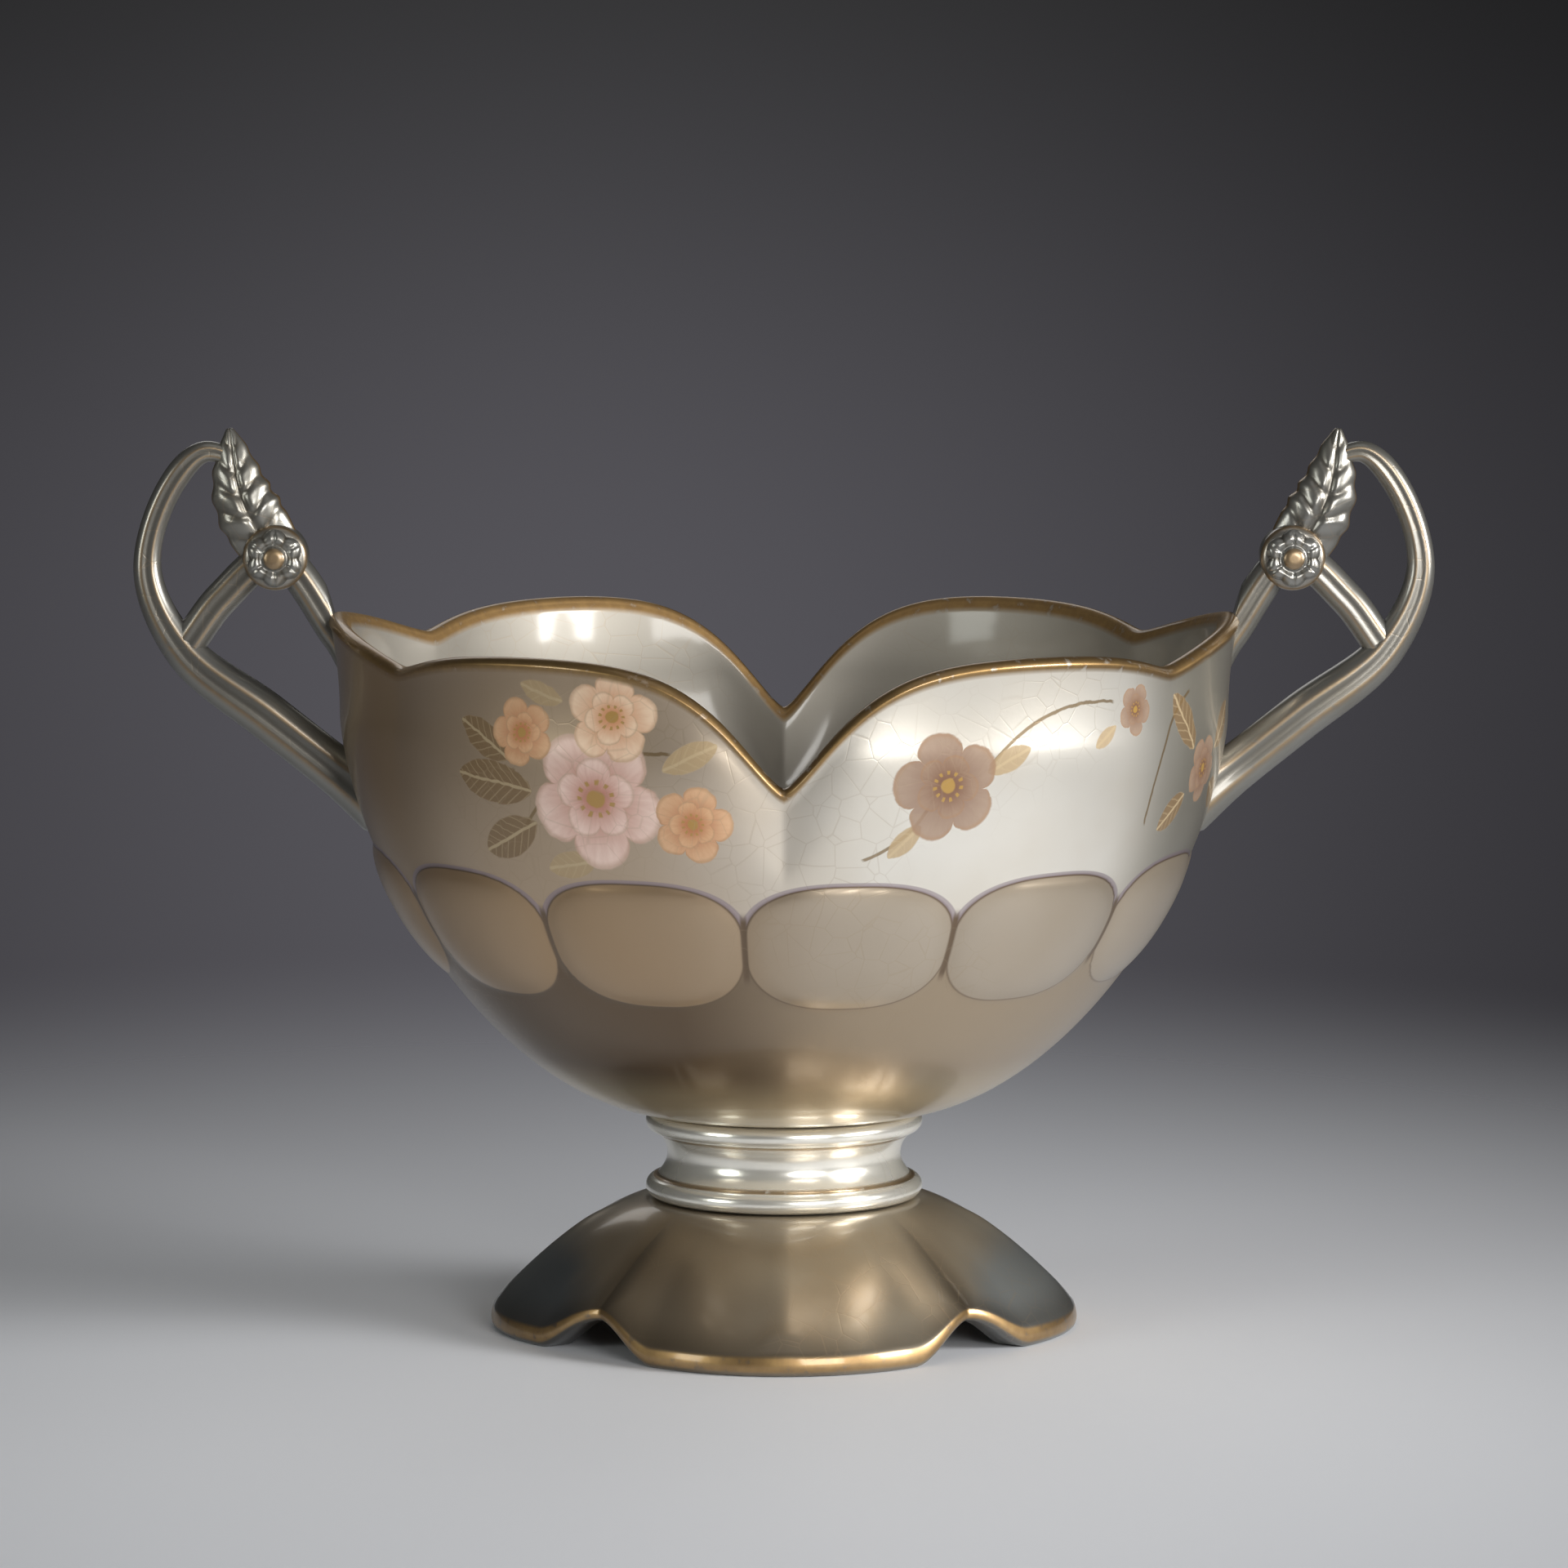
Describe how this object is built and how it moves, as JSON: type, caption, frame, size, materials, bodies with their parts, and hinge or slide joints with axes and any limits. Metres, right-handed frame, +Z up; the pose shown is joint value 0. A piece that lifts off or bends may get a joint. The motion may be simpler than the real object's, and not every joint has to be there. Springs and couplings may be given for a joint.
{
  "type": "two-handled pedestal bowl",
  "caption": "Glazed ceramic pedestal bowl with a notched, lobed rim, scrolled handles with thumb leaves and rosettes, a short beaded stem and a petalled foot.",
  "frame": {"origin": "centre of the foot on the surface that it stands on", "axes": "+Z up, the handles along X, the deep notches of the rim facing front (-Y) and back (+Y)"},
  "size_m": [0.2984, 0.1986, 0.2077],
  "materials": {
    "ivory_glaze": "glossy ivory glaze shading to tan and brown below, with painted sprays and gilt lines",
    "stem_glaze": "glossy cream glaze with gilt beads",
    "foot_glaze": "glossy tan to brown glaze, darker at the edge",
    "handle_glaze": "glossy pale glaze with gilt edges"
  },
  "bodies": {
    "root": {"foot": "foot_glaze", "stem": "stem_glaze", "bowl_body": "ivory_glaze", "left_outer_scroll": "handle_glaze", "left_inner_scroll": "handle_glaze", "left_thumb_leaf": "handle_glaze", "left_front_rosette": "handle_glaze", "left_back_rosette": "handle_glaze", "right_outer_scroll": "handle_glaze", "right_inner_scroll": "handle_glaze", "right_thumb_leaf": "handle_glaze", "right_front_rosette": "handle_glaze", "right_back_rosette": "handle_glaze"}
  },
  "joints": []
}
